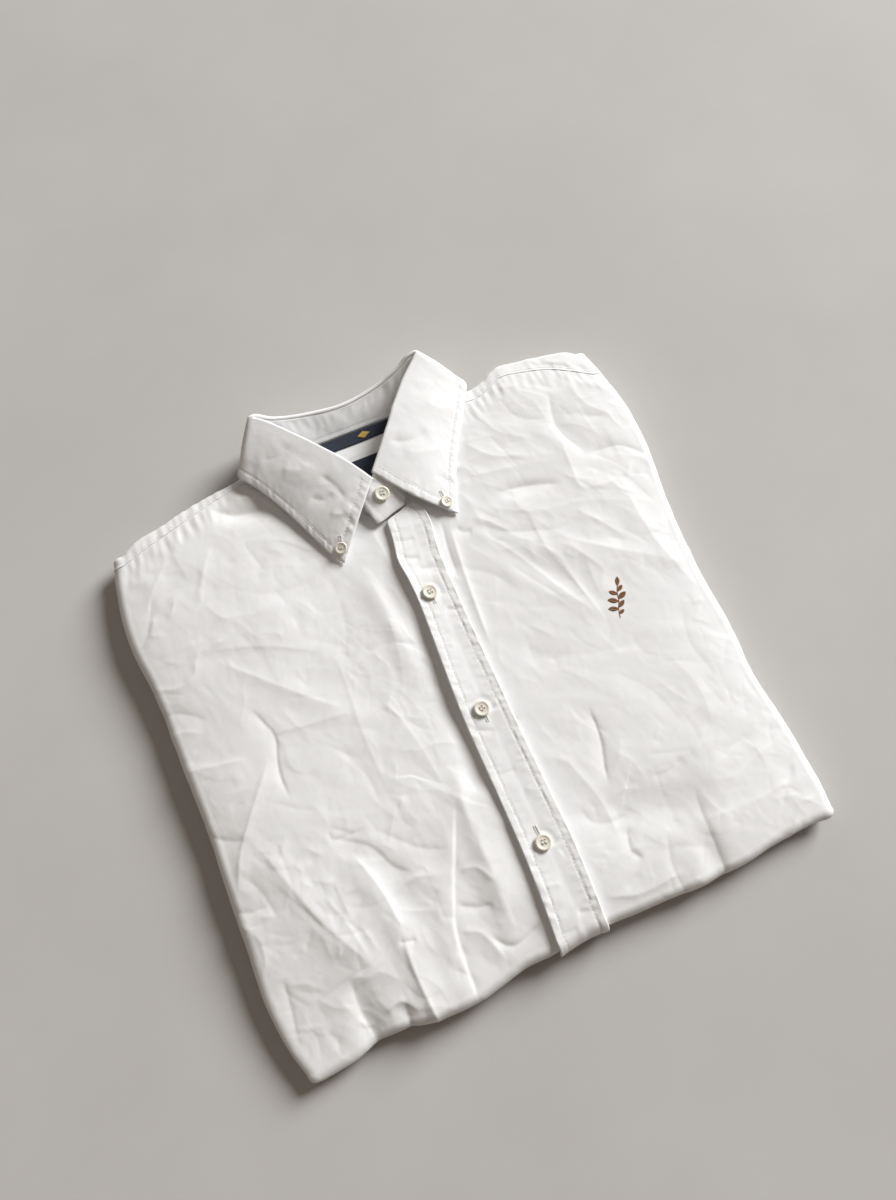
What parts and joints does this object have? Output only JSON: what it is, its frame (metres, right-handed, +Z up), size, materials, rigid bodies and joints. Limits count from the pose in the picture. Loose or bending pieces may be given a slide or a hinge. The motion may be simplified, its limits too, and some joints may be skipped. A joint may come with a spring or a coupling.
{
  "type": "folded shirt",
  "caption": "Long-sleeved white cotton shirt folded flat, face up, with a buttoned button-down collar, front placket and layered folded edges.",
  "frame": {"origin": "middle of the folded pile on the surface it lies on", "axes": "+Y from the bottom fold towards the collar, +X towards the wearer's left (the viewer's right), +Z up out of the shirt front"},
  "size_m": [0.4187, 0.4501, 0.0414],
  "materials": {
    "cotton": "matte woven cotton",
    "navy_trim": "matte woven tape",
    "button_shell": "pearly resin"
  },
  "bodies": {
    "root": {"folded_layers": "cotton", "front_right_panel": "cotton", "front_left_panel": "cotton", "yoke": "cotton", "placket": "cotton", "collar_stand": "cotton", "collar_leaf": "cotton", "neck_tape": "navy_trim", "neck_label": "navy_trim", "band_button": "button_shell", "placket_button_1": "button_shell", "placket_button_2": "button_shell", "placket_button_3": "button_shell", "collar_button_right": "button_shell", "collar_button_left": "button_shell"}
  },
  "joints": []
}
